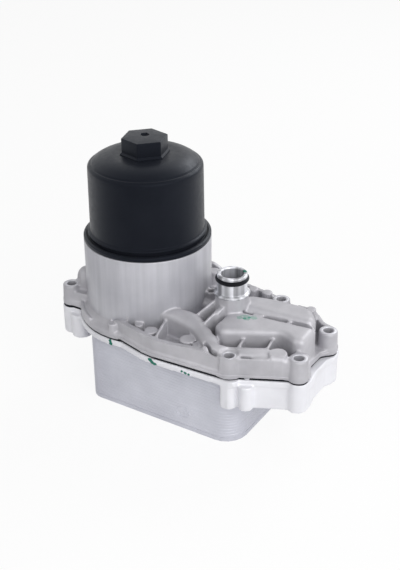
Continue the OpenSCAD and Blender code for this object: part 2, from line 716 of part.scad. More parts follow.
module filter_pleats() color([0.85, 0.78, 0.6]) {
    r1 = core_r + 1.5;
    r2 = element_r - 1.5;
    translate([0, 0, element_z + end_cap_t]) linear_extrude(element_h - 2 * end_cap_t) difference() {
        polygon([for (i = [0:2 * pleats - 1])
            let (a = 180 * i / pleats, r = i % 2 == 0 ? r2 : r1 + 2)
            [r * cos(a), r * sin(a)]]);
        circle(r = r1);
    }
}

module element_core() color([0.2, 0.2, 0.21]) {
    z0 = element_z + end_cap_t;
    z1 = element_top_z - end_cap_t;
    difference() {
        translate([0, 0, z0]) cylinder(r = core_r, h = z1 - z0);
        translate([0, 0, z0 - 1]) cylinder(r = core_r - core_wall, h = z1 - z0 + 2);
        for (k = [0:5], a = [0, 45, 90, 135]) translate([0, 0, z0 + 8 + k * 16]) rotate([0, 0, a])
            translate([-30, -3.5, 0]) cube([60, 7, 10]);
    }
}

seal_w = 3;

module end_cap(z) {
    translate([0, 0, z]) difference() {
        cylinder(r = element_r, h = end_cap_t);
        translate([0, 0, -1]) cylinder(r = land_r + seal_w, h = end_cap_t + 2);
    }
}

module end_seal(z) {
    translate([0, 0, z]) difference() {
        cylinder(r = land_r + seal_w, h = end_cap_t);
        translate([0, 0, -1]) cylinder(r = land_r + land_gap, h = end_cap_t + 2);
    }
}

module element_bottom_cap() color([0.16, 0.16, 0.17]) end_cap(element_z);
module element_top_cap() color([0.16, 0.16, 0.17]) end_cap(element_top_z - end_cap_t);
module element_bottom_seal() color([0.08, 0.08, 0.08]) end_seal(element_z);
module element_top_seal() color([0.08, 0.08, 0.08]) end_seal(element_top_z - end_cap_t);

ring_groove_z = cap_z - 1.5;
ring_groove_r = mouth_r - 0.05 - cap_ring_d;

module cap_o_ring() color([0.06, 0.06, 0.07]) {
    translate([0, 0, ring_groove_z - 0.3 - cap_ring_d / 2]) rotate_extrude()
        translate([ring_groove_r + cap_ring_d / 2, 0]) circle(d = cap_ring_d - 0.1, $fn = 48);
}

// Angle of the hexagon in the plan view, and the dimple in its top
hex_turn = -13.7;
dimple_at = [-2.3, 3.7];
dimple_r = 4.1;

// Cap profile: dome levels below the hexagon
dome_z = cap_top_z - hex_h - 4;
shoulder_z = dome_z - 8;
bead_z = cap_z + cap_flange_t + 1.8;

module cap_outside() {
    rotate_extrude() polygon(concat(
        [[0, cap_z - skirt_depth], [skirt_r, cap_z - skirt_depth], [skirt_r, ring_groove_z - cap_ring_d - 1.2],
         [mouth_r - 0.4, ring_groove_z - cap_ring_d - 1.2], [mouth_r - 0.4, ring_groove_z - cap_ring_d - 0.6],
         [ring_groove_r - 0.1, ring_groove_z - cap_ring_d - 0.6], [ring_groove_r - 0.1, ring_groove_z],
         [mouth_r - 0.4, ring_groove_z], [mouth_r - 0.4, cap_z], [cap_flange_r - 0.6, cap_z],
         [cap_flange_r, cap_z + 0.6],
         [cap_flange_r, cap_z + cap_flange_t - 1], [cap_flange_r - 1, cap_z + cap_flange_t],
         [cap_foot_r + 0.9, cap_z + cap_flange_t], [cap_foot_r + 0.9, bead_z],
         [cap_foot_r + 2.4, bead_z + 0.4], [cap_foot_r + 2.4, bead_z + 1.2], [cap_foot_r, bead_z + 2.6],
         [cap_r, shoulder_z - 3]],
        [for (a = [15:15:75]) [cap_r - 3 + 3 * cos(a), shoulder_z - 3 + 3 * sin(a) * 0.9]],
        [[cap_r - 4.5, shoulder_z + 1], [cap_r - 11, shoulder_z + 4.4], [cap_r - 18, shoulder_z + 6.6],
         [hex_af / 2 + 6, dome_z], [hex_af / 2 + 1.5, dome_z + 1], [0, dome_z + 1]]));
}

module cap_inside() {
    rotate_extrude() polygon([
        [0, cap_z - skirt_depth - 1], [skirt_r - cap_wall, cap_z - skirt_depth - 1],
        [skirt_r - cap_wall, cap_z - 8], [ring_groove_r - cap_wall - 0.1, cap_z - 5],
        [ring_groove_r - cap_wall - 0.1, cap_z + 6], [cap_r - cap_wall, cap_z + 12],
        [cap_r - cap_wall, shoulder_z - 5], [cap_r - 8, shoulder_z + 0.5 - cap_wall],
        [hex_af / 2 + 6, dome_z - cap_wall],
        [hex_af / 2 - 4, dome_z - cap_wall], [hex_af / 2 - 5, cap_top_z - 5], [0, cap_top_z - 5]
    ]);
}

module filter_cap() color([0.1, 0.1, 0.11]) {
    hold_r = 30;
    difference() {
        union() {
            cap_outside();
            translate([0, 0, dome_z]) rotate([0, 0, hex_turn])
                cylinder(r = hex_af / 2 / cos(30) + 0.8, h = 4, $fn = 6);
            translate([0, 0, dome_z]) rotate([0, 0, hex_turn])
                cylinder(r = hex_af / 2 / cos(30), h = cap_top_z - dome_z, $fn = 6);
        }
        cap_inside();
        translate([dimple_at.x, dimple_at.y, cap_top_z - 1.5]) cylinder(r = dimple_r, h = 3);
    }
    translate([0, 0, element_top_z + seat_gap]) difference() {
        cylinder(r = hold_r, h = dome_z - 2 - element_top_z);
        translate([0, 0, -1]) cylinder(r = hold_r - 2.5, h = 40);
    }
}

cooler_core();
cooler_base_plate();
cooler_top_plate();
cooler_port_seals();
cooler_screws();
cooler_cover();
housing_gasket();
dowel_pins();
filter_housing();
connector_tube();
connector_o_ring();
standpipe();
bypass_seat();
bypass_spring();
bypass_poppet();
filter_pleats();
element_core();
element_bottom_cap();
element_top_cap();
element_bottom_seal();
element_top_seal();
cap_o_ring();
filter_cap();
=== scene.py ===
"""Studio scene of an engine oil filter housing with its oil cooler."""
from math import atan2, cos, inf, pi, radians, sin, tan

import bmesh
import bpy
from mathutils import Matrix, Vector


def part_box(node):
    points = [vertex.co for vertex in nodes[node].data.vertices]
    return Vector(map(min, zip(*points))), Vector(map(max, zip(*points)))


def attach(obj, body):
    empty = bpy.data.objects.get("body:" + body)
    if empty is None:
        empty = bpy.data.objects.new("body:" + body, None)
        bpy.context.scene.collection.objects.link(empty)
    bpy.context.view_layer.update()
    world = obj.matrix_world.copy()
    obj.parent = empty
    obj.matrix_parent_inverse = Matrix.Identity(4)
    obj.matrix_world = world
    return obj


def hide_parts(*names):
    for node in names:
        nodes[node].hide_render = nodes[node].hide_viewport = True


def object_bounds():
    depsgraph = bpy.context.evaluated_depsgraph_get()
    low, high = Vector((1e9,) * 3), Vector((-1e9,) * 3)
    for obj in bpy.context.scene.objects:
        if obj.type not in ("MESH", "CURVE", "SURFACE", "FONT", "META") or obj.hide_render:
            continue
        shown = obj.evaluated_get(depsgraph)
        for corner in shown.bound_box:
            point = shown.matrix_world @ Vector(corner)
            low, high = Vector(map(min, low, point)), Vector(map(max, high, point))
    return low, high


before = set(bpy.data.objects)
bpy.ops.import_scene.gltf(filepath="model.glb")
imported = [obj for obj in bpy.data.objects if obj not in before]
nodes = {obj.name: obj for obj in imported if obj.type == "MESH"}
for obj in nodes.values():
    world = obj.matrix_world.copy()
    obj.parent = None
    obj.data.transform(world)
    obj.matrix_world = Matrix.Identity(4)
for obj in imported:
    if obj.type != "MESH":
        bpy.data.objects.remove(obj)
cad_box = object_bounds()

# Lengths are millimetres in this script, and metres in Blender
MM = 0.001


def box_mm(node):
    """Lowest and highest corner of a CAD node, in millimetres."""
    low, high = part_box(node)
    return Vector(low) / MM, Vector(high) / MM


# Height of the bolt bosses, gap under the cap's flange, and depth at which the connector sits in its boss
BOSS_H = 21
FLANGE_GAP = 0.2
SEAT_DEPTH = 4.6

# Levels and radii taken from the CAD frame
housing_low, housing_high = box_mm("filter_housing")
base_z = housing_low.z
rim_z = housing_high.z
boss_top_z = base_z + BOSS_H
cap_low, cap_high = box_mm("filter_cap")
cap_top_z = cap_high.z
flange_r = cap_high.x
flange_z = rim_z + FLANGE_GAP
core_low, core_high = box_mm("cooler_core")
tube_low, tube_high = box_mm("connector_tube")
tube_seat_z = tube_low.z + SEAT_DEPTH

# Barrel: outer, chamber and mouth radii, depth and chamfer of the mouth, and height at which its wall starts
BARREL_R = 58.05
CHAMBER_R = 50.95
MOUTH_R = 53
MOUTH_DEPTH = 30
MOUTH_CHAMFER = 1.2
BARREL_START = 14

# Bolt bosses of the casting: centres, top radius and bore radius
BOLTS = [(-68.5, -30), (122.5, -62), (174.5, -35.5), (176, 17.5), (115, 45.5), (16, 69), (-46, 50)]
BOSS_R = 7.4
BOLT_HOLE_R = 4.45

# Faced tops of the bosses: how far they stand proud, their depth and the bore's chamfer
FACE_PROUD = 0.05
FACE_DEPTH = 1.2
BORE_CHAMFER = 0.5

# Sleeve that lines a bolt's bore: its wall, and how far it reaches below the base
SLEEVE_WALL = 0.4
SLEEVE_BELOW = 0.2

# The boss that runs into the front wall, and the line of the front there
SLIM_BOSS_R = 5.9
FRONT_LINE = [
    (112, -68.9), (118, -68.3), (122.2, -67.9), (125.5, -66.4), (129.2, -63.4), (133, -61), (147, -54.2),
    (153, -51.2), (159, -48.3), (166.3, -44.8),
]

# Upper part of that line: it starts at an x and a height, and stands back
UPPER_X = 140
UPPER_H = 20.9
UPPER_BACK = 1.9

# Heights of the front wall's top along x, and the line behind the wall
WALL_TOPS = [
    (-1, 13), (3, 17), (8, 18.3), (17, 18), (32, 18.7), (43, 18.5), (54, 17.5), (68, 17.7), (78, 18.9),
    (90, 20.3), (100, 20.9), (108, 18.6), (113.5, 18.2),
]
WALL_BACK = [(-1, -52.5), (36, -62.5), (52, -65), (97, -62.8), (98, -64.8), (114, -64.2)]

# Front line of the long block, and how far its front and its left end lean back
HUMP_FRONT = [(88, -44), (97, -49), (104, -51), (149, -24.5), (157, -26), (165, -31), (176, -30)]
HUMP_BACK = 2.6
HUMP_END = 2.4

# Where that lean fades in or out: heights, depth from the front line, y towards the back, and x
LEAN_RISE = (4, 12)
LEAN_DEPTH = (-3.5, -0.5)
LEAN_BACK = (-19, -9)
LEAN_LEFT = (92, 100)
LEAN_RIGHT = (166, 176)
LEAN_END = (96, 114)

# Front edge of the cover
COVER_LINE = [(110, -69.6), (117, -69.4), (126, -69.4), (130.3, -68), (135.2, -66.3), (145, -62.3)]

# Cover below its flange: what lies between two x in front of a line is moved to the second x
COVER_FLANGE = 7
LEG_X = (112, 117.8)
LEG_Y = -57

# How far the gasket stands back from the casting's front
GASKET_BACK = 0.7

# Wall between the two right front bosses: x, y of its front, and its top above the base
FRONT_WALL = [
    (120, -68, 20.5), (122.2, -67.8, 20.4), (125.5, -66.2, 20.2), (129.2, -63.1, 20), (133, -60.7, 20),
    (147, -54, 20.3), (153, -51, 20.6), (159, -48.1, 20), (164, -45.7, 18.6), (171, -42.3, 18.4),
]

# Thickness of that wall, and the level inside the floor from which added forms rise
FRONT_THICK = 1.8
root_z = base_z + 1

# Small pad between the duct and the front wall: centre, radius and height
TALL_PAD = ((89.4, -58.1), 4.8, 18.8)
PAD_STEPS = 48

# Outline of the casting's foot with corner radii
FOOT_OUTLINE = [
    (-10, -58, 2), (38, -70.5, 8), (52, -72, 8), (123, -68, 6), (131, -61.9, 8), (168, -43.5, 6),
    (182, -40, 6), (183, -30, 6), (176, -16, 8), (176, 4, 6), (184, 14, 6), (183, 26, 6),
    (168, 30, 8), (151, 46, 6), (126, 50, 10), (113, 57, 8), (88, 62, 12), (60, 67, 12),
    (32, 76, 8), (8, 77, 8), (-10, 58, 2),
]

# Step on the foot: how far it reaches in and stands out, its two levels, its edge and its underside's bevel
FOOT_INSIDE = 2
FOOT_PROUD = 0.65
FOOT_LOW = 1.3
FOOT_H = 4.3
FOOT_EDGE = 0.4
FOOT_BEVEL = 0.7

# Connector: its axis, and the radii of its bore, its wall and the groove for its ring
TUBE_AT = (91.5, -4)
TUBE_BORE_R = 9.8
TUBE_WALL_R = 13.5
TUBE_GROOVE_R = 11.1

# Head of a pin that shows in the front gap between the flanges: centre, radii, and its ends from the base
PIN_AT = (137, -56.4)
PIN_R = 2.6
PIN_BORE_R = 0.4
PIN_ENDS = (-0.6, 0.9)

# Camera of the photograph: place, a point it looks at, roll and focal length in pixels
CAMERA_AT = (484.4, -684.15, 555.73)
CAMERA_AIM = (65.2, -15.2, 123.6)
CAMERA_ROLL = radians(0.42)
FOCAL_PIXELS = 1020.3
PHOTO_HEIGHT = 570
SENSOR_MM = 36

# Points closer than this are one, in a mesh made here and in a CAD mesh
MERGE = 1e-4
CAD_MERGE = 1e-3

# A corner whose half angle is more than this, in radians, is nearly straight and isn't rounded
STRAIGHT = 1.55

# Castings: voxel of the copy, and the angle past which its edges look sharp
VOXEL = 0.9
CAST_ANGLE = 60


def linear(red, green, blue):
    """Linear colour of an sRGB colour given from 0 to 255."""
    def channel(c):
        c = c / 255
        return c / 12.92 if c <= 0.04045 else ((c + 0.055) / 1.055) ** 2.4
    return (channel(red), channel(green), channel(blue), 1)


def add_object(name, mesh, material, body="root"):
    """An object of one material that rides on a body."""
    obj = bpy.data.objects.new(name, mesh)
    bpy.context.collection.objects.link(obj)
    mesh.materials.clear()
    mesh.materials.append(material)
    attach(obj, body)
    return obj


def shade(mesh, angle):
    """Smooth shading that keeps edges sharper than the angle."""
    mesh.shade_smooth()
    mesh.set_sharp_from_angle(angle=radians(angle))


def finished(name, bm, material, body="root", angle=32):
    """An object from a bmesh in millimetres."""
    bmesh.ops.remove_doubles(bm, verts=bm.verts, dist=MERGE)
    bmesh.ops.recalc_face_normals(bm, faces=bm.faces)
    bmesh.ops.scale(bm, vec=(MM, MM, MM), verts=bm.verts)
    mesh = bpy.data.meshes.new(name)
    bm.to_mesh(mesh)
    bm.free()
    shade(mesh, angle)
    return add_object(name, mesh, material, body)


def rounded(corners, steps=5):
    """Closed outline whose corners (x, y, radius) are arcs."""
    points = []
    count = len(corners)
    for i, (x, y, radius) in enumerate(corners):
        here = Vector((x, y))
        back = (Vector(corners[i - 1][:2]) - here).normalized()
        ahead = (Vector(corners[(i + 1) % count][:2]) - here).normalized()
        half = back.angle(ahead, pi) / 2
        if radius <= 0 or half > STRAIGHT:
            points.append((x, y))
            continue
        reach = radius / tan(half)
        centre = here + (back + ahead).normalized() * (radius / sin(half))
        start = here + back * reach - centre
        end = here + ahead * reach - centre
        first = atan2(start.y, start.x)
        sweep = (atan2(end.y, end.x) - first + pi) % (2 * pi) - pi
        for k in range(steps + 1):
            a = first + sweep * k / steps
            points.append((centre.x + radius * cos(a), centre.y + radius * sin(a)))
    return points


def skin(bm, rings, loop=False, ends=False):
    """Faces between closed rings of points. Loop joins the last ring to the first, ends closes both ends."""
    rows = [[bm.verts.new(p) for p in ring] for ring in rings]
    count = len(rows[0])
    pairs = list(zip(rows, rows[1:]))
    if loop:
        pairs.append((rows[-1], rows[0]))
    for low, high in pairs:
        for k in range(count):
            j = (k + 1) % count
            bm.faces.new((low[k], low[j], high[j], high[k]))
    if ends:
        bm.faces.new(rows[0][::-1])
        bm.faces.new(rows[-1])


def lathe(bm, profile, at, steps):
    """A solid ring or body turned from a closed profile of (radius, z) points."""
    rings = []
    for k in range(steps):
        a = 2 * pi * k / steps
        rings.append([(at[0] + r * cos(a), at[1] + r * sin(a), z) for r, z in profile])
    skin(bm, rings, loop=True)
    bmesh.ops.remove_doubles(bm, verts=bm.verts, dist=MERGE)


def turned(name, corners, material, steps, body="root", at=(0, 0), angle=32):
    """A lathe piece from profile corners (radius, z, corner radius)."""
    bm = bmesh.new()
    lathe(bm, rounded(corners, 4), at, steps)
    return finished(name, bm, material, body, angle)


def front_wall():
    """Rings of the upright wall whose front face runs through the stations of FRONT_WALL."""
    rings = []
    last = len(FRONT_WALL) - 1
    for i, (x, y, height) in enumerate(FRONT_WALL):
        a = Vector(FRONT_WALL[max(i - 1, 0)][:2])
        b = Vector(FRONT_WALL[min(i + 1, last)][:2])
        along = (b - a).normalized()
        back = (x - along.y * FRONT_THICK, y + along.x * FRONT_THICK)
        top = base_z + height
        rings.append([(x, y, root_z), (x, y, top), (*back, top), (*back, root_z)])
    return rings


def round_pad(at, radius, height):
    """Rings of a round pad that stands on the floor."""
    circle = []
    for k in range(PAD_STEPS):
        a = 2 * pi * k / PAD_STEPS
        circle.append((at[0] + radius * cos(a), at[1] + radius * sin(a)))
    return [[(x, y, z) for x, y in circle] for z in (root_z, base_z + height)]


def apply_modifier(obj, kind, **settings):
    """Applies one modifier to a piece's mesh."""
    modifier = obj.modifiers.new(kind.lower(), kind)
    for key, value in settings.items():
        setattr(modifier, key, value)
    graph = bpy.context.evaluated_depsgraph_get()
    mesh = bpy.data.meshes.new_from_object(obj.evaluated_get(graph))
    old = obj.data
    obj.modifiers.clear()
    obj.data = mesh
    bpy.data.meshes.remove(old)


def between(line, x):
    """Value at x of a line of points (x, value), or None beside it."""
    for (x0, y0), (x1, y1) in zip(line, line[1:]):
        if x0 <= x < x1:
            return y0 + (y1 - y0) * (x - x0) / (x1 - x0)
    return None


def pressed(mesh, line, lowest_z=-inf):
    """Presses what stands out in front of a line of plan points back onto it, above a level."""
    for vert in mesh.vertices:
        front = between(line, vert.co.x / MM)
        if front is not None and vert.co.z > lowest_z * MM:
            vert.co.y = max(vert.co.y, front * MM)


def lowered(mesh, line, tops):
    """Lowers what lies in front of a line of plan points to tops (x, level)."""
    for vert in mesh.vertices:
        x, y, z = vert.co / MM
        back = between(line, x)
        top = between(tops, x)
        if back is not None and top is not None and y < back:
            vert.co.z = min(z, top) * MM


def cut_above(bm, level):
    """Cuts a bmesh in metres off above a level, and closes the cut."""
    everything = bm.verts[:] + bm.edges[:] + bm.faces[:]
    cut = bmesh.ops.bisect_plane(
        bm, geom=everything, plane_co=(0, 0, level * MM), plane_no=(0, 0, 1), clear_outer=True)
    rim = [e for e in cut["geom_cut"] if isinstance(e, bmesh.types.BMEdge)]
    bmesh.ops.triangle_fill(bm, use_beauty=True, edges=rim)


def cast_copy(name, node, material, shape, passes, most_triangles, cut_z=None, solids=()):
    """A CAD node and added solids as one shaped casting with soft edges, cut off above a level."""
    bm = bmesh.new()
    bm.from_mesh(nodes[node].data)
    bmesh.ops.remove_doubles(bm, verts=bm.verts, dist=CAD_MERGE * MM)
    if cut_z is not None:
        cut_above(bm, cut_z)
    for rings in solids:
        skin(bm, [[Vector(p) * MM for p in ring] for ring in rings], ends=True)
    bmesh.ops.recalc_face_normals(bm, faces=bm.faces)
    mesh = bpy.data.meshes.new(name)
    bm.to_mesh(mesh)
    bm.free()
    obj = add_object(name, mesh, material)
    apply_modifier(obj, "REMESH", mode="VOXEL", voxel_size=VOXEL * MM, adaptivity=0)
    shape(obj.data)
    apply_modifier(obj, "SMOOTH", factor=0.5, iterations=passes)
    triangles = 2 * len(obj.data.polygons)
    if triangles > most_triangles:
        apply_modifier(obj, "DECIMATE", ratio=most_triangles / triangles)
    shade(obj.data, CAST_ANGLE)
    obj.data.materials.clear()
    obj.data.materials.append(material)
    return obj


# Materials: an inspector's paint, fresh and faint, and its dabs (x, y, z, radius) on the pieces
PAINT = linear(18, 105, 88)
FAINT_PAINT = linear(146, 168, 162)
SPOT_PAINT = linear(78, 142, 126)
TUBE_DABS = [(99.6, 4.6, 138, 2.8)]
HUMP_DABS = [(113, -15.5, 105, 5), (108, -18, 105, 3.6), (118, -12.5, 105, 3.6)]
HUMP_SPOTS = [(112, -17.5, 105, 1.9), (115, -14.5, 105, 1.5)]
COVER_DABS = [
    (1, -65.3, 71.5, 1.8), (1.5, -65.3, 69, 1.8), (2, -65.3, 67, 1.6), (49, -73.2, 71.5, 2.4),
    (51.5, -73.2, 70, 2.8), (54, -73.2, 68.6, 2.4), (81, -72, 70, 1.6), (85, -71.8, 69, 1.9),
    (88, -71.8, 68.6, 1.7),
]

# Ragged edge of a dab, in shares of its radius: what the noise adds, and where the paint ends and is full
DAB_WOBBLE = 1.6
DAB_END = 1.75
DAB_FULL = 1.55


class Maker:
    """A node material under construction."""

    def __init__(self, name):
        self.material = bpy.data.materials.new(name)
        self.material.use_nodes = True
        self.tree = self.material.node_tree
        self.tree.nodes.clear()
        self.shader = self.add("ShaderNodeBsdfPrincipled")
        output = self.add("ShaderNodeOutputMaterial")
        self.link(self.shader.outputs["BSDF"], output.inputs["Surface"])
        self.place = self.add("ShaderNodeTexCoord").outputs["Object"]
        self.normal = None

    def add(self, kind, **settings):
        """A new node with these settings."""
        node = self.tree.nodes.new(kind)
        for key, value in settings.items():
            setattr(node, key, value)
        return node

    def link(self, start, end):
        """Joins an output to an input."""
        self.tree.links.new(start, end)

    def set(self, **values):
        """Sets constant values on the shader's own inputs."""
        for key, value in values.items():
            self.shader.inputs[key.replace("_", " ")].default_value = value

    def noise(self, size_mm, detail=3.0, rough=0.5, place=None):
        """Noise whose blotches are about size_mm across."""
        node = self.add("ShaderNodeTexNoise")
        node.inputs["Scale"].default_value = 1 / MM / size_mm
        node.inputs["Detail"].default_value = detail
        node.inputs["Roughness"].default_value = rough
        self.link(place or self.place, node.inputs["Vector"])
        return node.outputs["Fac"]

    def stretched(self, x, y, z):
        """Object coordinates scaled along each axis."""
        node = self.add("ShaderNodeMapping")
        node.inputs["Scale"].default_value = (x, y, z)
        self.link(self.place, node.inputs["Vector"])
        return node.outputs["Vector"]

    def ramp(self, fac, *stops):
        """Colours or greys at positions along a value."""
        node = self.add("ShaderNodeValToRGB")
        elements = node.color_ramp.elements
        while len(elements) < len(stops):
            elements.new(0.5)
        for element, (place, colour) in zip(elements, stops):
            element.position = place
            element.color = colour if isinstance(colour, tuple) else (colour, colour, colour, 1)
        self.link(fac, node.inputs["Fac"])
        return node.outputs["Color"]

    def mix(self, fac, first, second, blend="MIX"):
        """Blend of two colours by a share, each a value or an output."""
        node = self.add("ShaderNodeMix", data_type="RGBA", blend_type=blend)
        for socket, value in ((node.inputs[0], fac), (node.inputs[6], first), (node.inputs[7], second)):
            if isinstance(value, (int, float, tuple)):
                socket.default_value = value
            else:
                self.link(value, socket)
        return node.outputs[2]

    def bump(self, height, strength, distance_mm):
        """Adds one layer of relief."""
        node = self.add("ShaderNodeBump")
        node.inputs["Strength"].default_value = strength
        node.inputs["Distance"].default_value = distance_mm * MM
        self.link(height, node.inputs["Height"])
        if self.normal is not None:
            self.link(self.normal, node.inputs["Normal"])
        self.normal = node.outputs["Normal"]
        self.link(self.normal, self.shader.inputs["Normal"])

    def dabs(self, colour, paint, spots):
        """Paint dabs mixed into a colour: spots are (x, y, z, radius) in millimetres."""
        wobble = self.noise(4, 2)
        for x, y, z, radius in spots:
            apart = self.add("ShaderNodeVectorMath", operation="DISTANCE")
            apart.inputs[1].default_value = (x * MM, y * MM, z * MM)
            self.link(self.place, apart.inputs[0])
            rough = self.add("ShaderNodeMath", operation="MULTIPLY_ADD")
            rough.inputs[1].default_value = radius * DAB_WOBBLE * MM
            self.link(wobble, rough.inputs[0])
            self.link(apart.outputs["Value"], rough.inputs[2])
            edge = self.add("ShaderNodeMapRange")
            edge.inputs["From Min"].default_value = radius * DAB_END * MM
            edge.inputs["From Max"].default_value = radius * DAB_FULL * MM
            self.link(rough.outputs[0], edge.inputs["Value"])
            colour = self.mix(edge.outputs[0], colour, paint)
        return colour


def metal(name, dark, light, rough, metallic, grain, patch=30):
    """Bare metal with soft patches and a fine grain: size, strength and depth."""
    m = Maker(name)
    m.set(Metallic=metallic, Specular_IOR_Level=0.3)
    patches = m.noise(patch, 4, 0.55)
    colour = m.ramp(patches, (0.3, dark), (0.7, light))
    m.link(m.ramp(m.noise(patch / 6, 3), (0.3, rough[0]), (0.75, rough[1])), m.shader.inputs["Roughness"])
    size, strength, depth = grain
    m.bump(m.noise(size, 2, 0.6), strength, depth)
    m.link(colour, m.shader.inputs["Base Color"])
    return m, colour


def cast_metal():
    """Blasted aluminium, with an inspector's paint dabs on the top."""
    m, colour = metal("blasted_aluminium", linear(166, 165, 170), linear(188, 187, 192),
                      rough=(0.42, 0.58), metallic=0.3, grain=(0.45, 0.35, 0.05))
    m.bump(m.noise(6, 3), 0.12, 0.25)
    colour = m.dabs(colour, FAINT_PAINT, HUMP_DABS)
    colour = m.dabs(colour, SPOT_PAINT, HUMP_SPOTS)
    m.link(colour, m.shader.inputs["Base Color"])
    return m.material


def barrel_metal():
    """Turned aluminium with fine rings, its colour streaked up and down with painted reflections."""
    m, colour = metal("turned_aluminium_painted_reflections", linear(170, 170, 177), linear(186, 186, 192),
                      rough=(0.33, 0.45), metallic=0.25, grain=(0.3, 0.12, 0.02), patch=45)
    # Vertical light and dark streaks in the colour are painted reflections of the surroundings on the turned
    # wall
    grain_and_painted_reflection_streaks = m.ramp(m.noise(7, 3, 0.6, m.stretched(1, 1, 0.04)), (0.35, 0.9), (0.65, 1.04))
    m.link(m.mix(1.0, colour, grain_and_painted_reflection_streaks, "MULTIPLY"), m.shader.inputs["Base Color"])
    lines = m.noise(0.5, 2, 0.5, m.stretched(0.02, 0.02, 1))
    m.bump(lines, 0.18, 0.02)
    return m.material


def cover_metal():
    """Bright satin aluminium of the cover."""
    m, colour = metal("bright_aluminium", linear(216, 216, 221), linear(228, 228, 233),
                      rough=(0.38, 0.5), metallic=0.2, grain=(0.4, 0.2, 0.03))
    m.link(m.dabs(colour, PAINT, COVER_DABS), m.shader.inputs["Base Color"])
    return m.material


def cooler_metal():
    """Rolled aluminium of the cooler, drawn out along the plates."""
    m, _ = metal("rolled_aluminium", linear(180, 181, 191), linear(202, 203, 212),
                 rough=(0.36, 0.5), metallic=0.35, grain=(0.4, 0.1, 0.02), patch=60)
    grain_and_painted_reflection_streaks = m.noise(0.8, 3, 0.6, m.stretched(0.05, 0.05, 1))
    m.bump(grain_and_painted_reflection_streaks, 0.12, 0.04)
    return m.material


def machined_metal():
    """Turned faces of the connector, with vertical streaks of painted reflection and painted highlight in
    their colour.
    """
    m, colour = metal("machined_aluminium_painted_reflections", linear(190, 191, 196), linear(206, 207, 212),
                      rough=(0.3, 0.42), metallic=0.7, grain=(0.4, 0.06, 0.01), patch=12)
    # Vertical dark and bright streaks in the colour, up to 1.4 times as bright, are painted reflections and
    # highlights
    grain_and_painted_reflection_streaks = m.ramp(m.noise(7, 2, 0.5, m.stretched(1, 1, 0.02)), (0.38, 0.5), (0.5, 0.98), (0.6, 1.4))
    colour = m.mix(1.0, colour, grain_and_painted_reflection_streaks, "MULTIPLY")
    m.link(m.dabs(colour, PAINT, TUBE_DABS), m.shader.inputs["Base Color"])
    return m.material


def faced_metal():
    """Faced tops of the bolt bosses."""
    m, _ = metal("faced_aluminium", linear(180, 180, 186), linear(198, 198, 203),
                 rough=(0.36, 0.5), metallic=0.5, grain=(0.4, 0.08, 0.02), patch=12)
    return m.material


def plain_metal(name, colour, rough):
    """Metal of one colour, a little lighter in patches."""
    light = tuple(min(1, c * 1.15) for c in colour[:3]) + (1,)
    m, _ = metal(name, colour, light, rough=rough, metallic=1.0, grain=(0.3, 0.15, 0.02), patch=10)
    return m.material


def plastic(name, dark, light, rough, patch=35, gloss=(0.05, 0.4)):
    """Moulded plastic or rubber with a fine grain, glossier where it turns away."""
    m = Maker(name)
    m.set(Metallic=0.0, IOR=1.5, Specular_Tint=(0.72, 0.82, 1, 1))
    facing = m.add("ShaderNodeLayerWeight")
    facing.inputs["Blend"].default_value = 0.5
    shine = m.ramp(facing.outputs["Facing"], (0.1, gloss[0]), (0.55, gloss[1]))
    m.link(shine, m.shader.inputs["Specular IOR Level"])
    m.link(m.ramp(m.noise(patch, 3), (0.3, dark), (0.7, light)), m.shader.inputs["Base Color"])
    m.link(m.ramp(m.noise(patch / 8, 3), (0.3, rough[0]), (0.7, rough[1])), m.shader.inputs["Roughness"])
    m.bump(m.noise(0.5, 2, 0.6), 0.12, 0.02)
    return m.material


def paper():
    """Filter paper with its fibres."""
    m = Maker("filter_paper")
    m.set(Metallic=0.0)
    fibres = m.noise(0.5, 4, 0.6, m.stretched(1, 1, 0.25))
    colour = m.ramp(fibres, (0.3, linear(206, 190, 150)), (0.7, linear(226, 212, 176)))
    m.link(colour, m.shader.inputs["Base Color"])
    m.link(m.ramp(m.noise(8), (0.3, 0.78), (0.7, 0.9)), m.shader.inputs["Roughness"])
    m.bump(fibres, 0.3, 0.08)
    return m.material


cast = cast_metal()
barrel = barrel_metal()
bright = cover_metal()
rolled = cooler_metal()
machined = machined_metal()
faced = faced_metal()
steel = plain_metal("zinc_steel", linear(165, 166, 170), (0.25, 0.38))
brass = plain_metal("brass", linear(196, 160, 90), (0.25, 0.38))
black_nylon = plastic(
    "black_nylon", linear(21, 23, 29), linear(25, 27, 33), rough=(0.34, 0.44), gloss=(0.06, 0.24))
dark_nylon = plastic("dark_nylon", linear(44, 45, 48), linear(52, 53, 56), rough=(0.5, 0.6))
rubber = plastic("seal_rubber", linear(22, 22, 24), linear(30, 30, 32), rough=(0.45, 0.6), patch=8)
gasket_black = plastic("gasket_black", linear(24, 25, 27), linear(34, 35, 38), rough=(0.5, 0.65), patch=10)


def ease(value, start, end):
    """0 before the start, 1 past the end."""
    t = min(1, max(0, (value - start) / (end - start)))
    return t * t * (3 - 2 * t)


def leaned_hump(mesh):
    """Leans the front and the left end of the long block back."""
    for vert in mesh.vertices:
        x, y, z = vert.co / MM
        front = between(HUMP_FRONT, x)
        if front is None or z < base_z + LEAN_RISE[0]:
            continue
        share = ease(z - base_z, *LEAN_RISE) * ease(y - front, *LEAN_DEPTH) * (1 - ease(y, *LEAN_BACK))
        vert.co.y += HUMP_BACK * share * ease(x, *LEAN_LEFT) * (1 - ease(x, *LEAN_RIGHT)) * MM
        vert.co.x += HUMP_END * share * (1 - ease(x, *LEAN_END)) * MM


